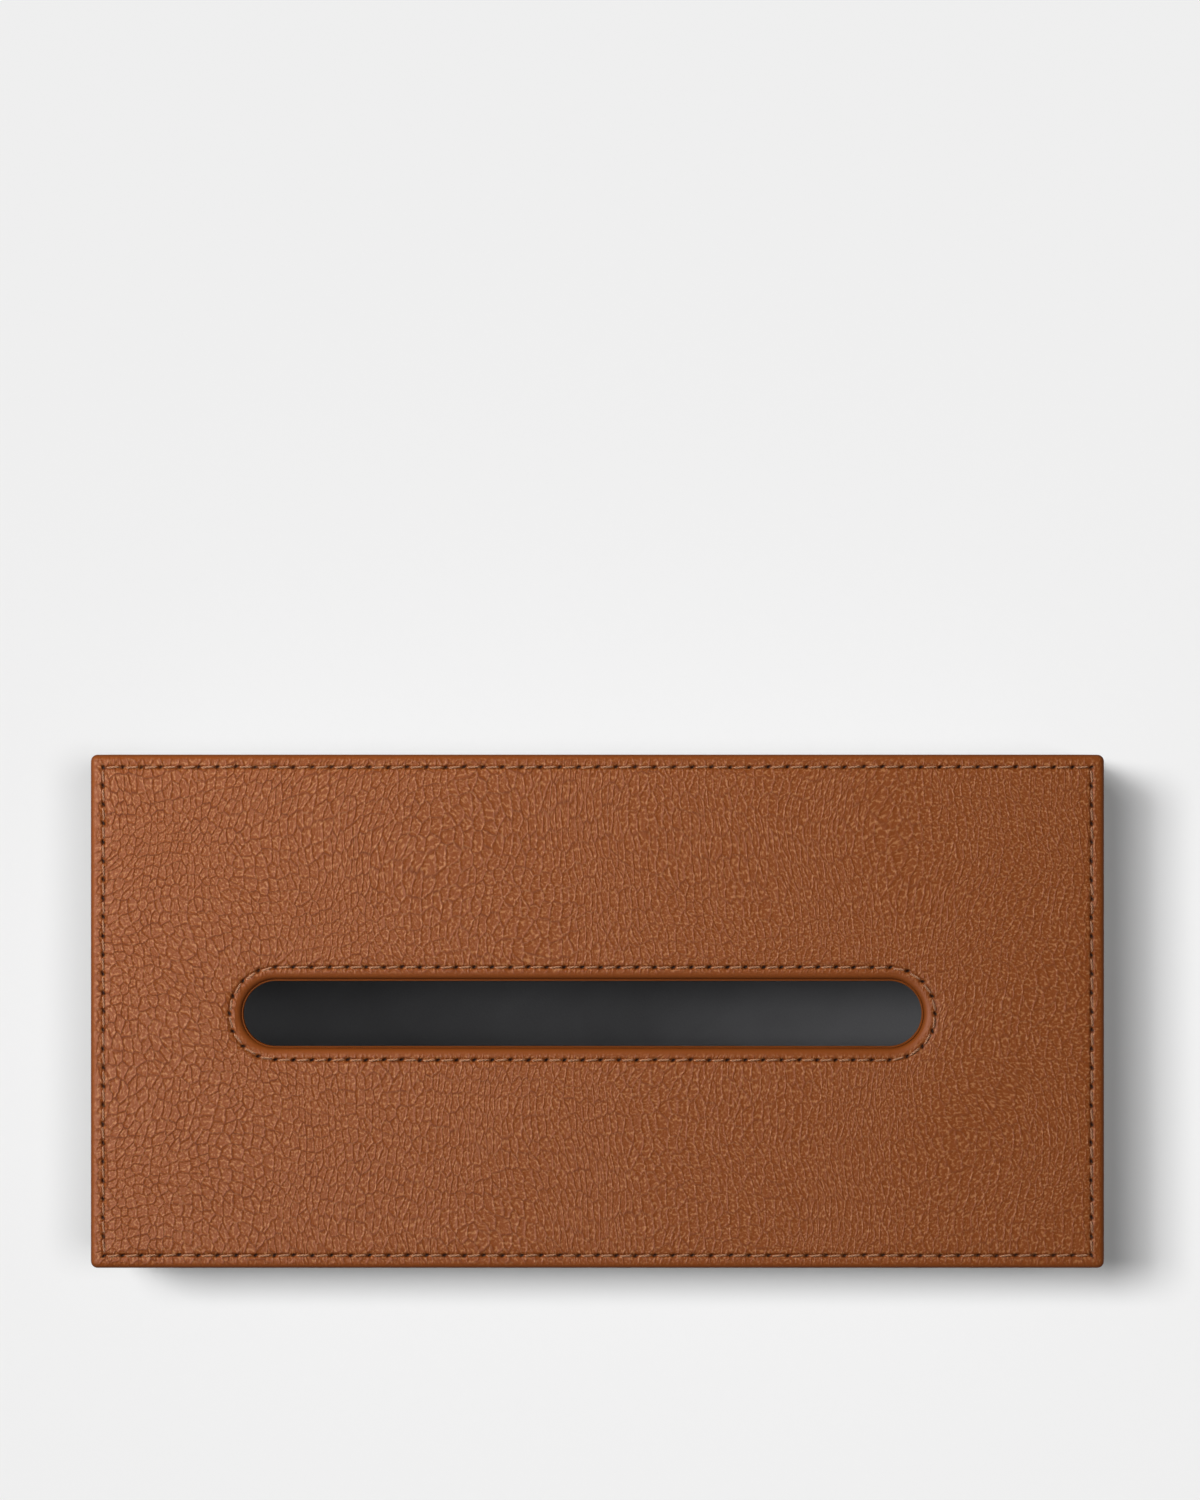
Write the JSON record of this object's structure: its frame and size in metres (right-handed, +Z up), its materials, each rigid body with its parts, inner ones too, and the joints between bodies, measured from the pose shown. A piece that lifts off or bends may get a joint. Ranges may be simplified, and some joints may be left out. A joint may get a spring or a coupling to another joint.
{
  "type": "tissue box cover",
  "caption": "Oblong leather-covered box with a stitched top and a long round-ended slot for drawing tissues; it lifts straight up off a lined base panel that the tissue pack stands on.",
  "frame": {"origin": "on the table, under the middle of the base panel", "axes": "+Z up, +X along the slot to the right, -Y to the front"},
  "size_m": [0.26, 0.1316, 0.0901],
  "materials": {
    "leather": "tan pebbled grain, semi-matte",
    "thread": "twisted polyester thread, light tan",
    "lining": "dark grey microsuede",
    "felt": "pressed felt, charcoal",
    "board": "pressed fibreboard, raw",
    "magnet": "nickel plated",
    "keeper": "zinc plated sheet"
  },
  "bodies": {
    "base": {"base_board": "board", "base_lining": "lining", "base_felt": "felt", "keeper_discs": "keeper"},
    "cover": {"top_board": "board", "front_board": "board", "back_board": "board", "left_board": "board", "right_board": "board", "left_cleat": "board", "right_cleat": "board", "magnets": "magnet", "top_leather": "leather", "side_leather": "leather", "slot_facing": "leather", "top_lining": "lining", "front_lining": "lining", "back_lining": "lining", "left_lining": "lining", "right_lining": "lining", "edge_stitching": "thread", "slot_stitching": "thread"}
  },
  "joints": [
    {"name": "cover_lift", "type": "slide", "parent": "base", "child": "cover", "axis": [0, 0, 1], "range_m": [0, 0.1]}
  ]
}
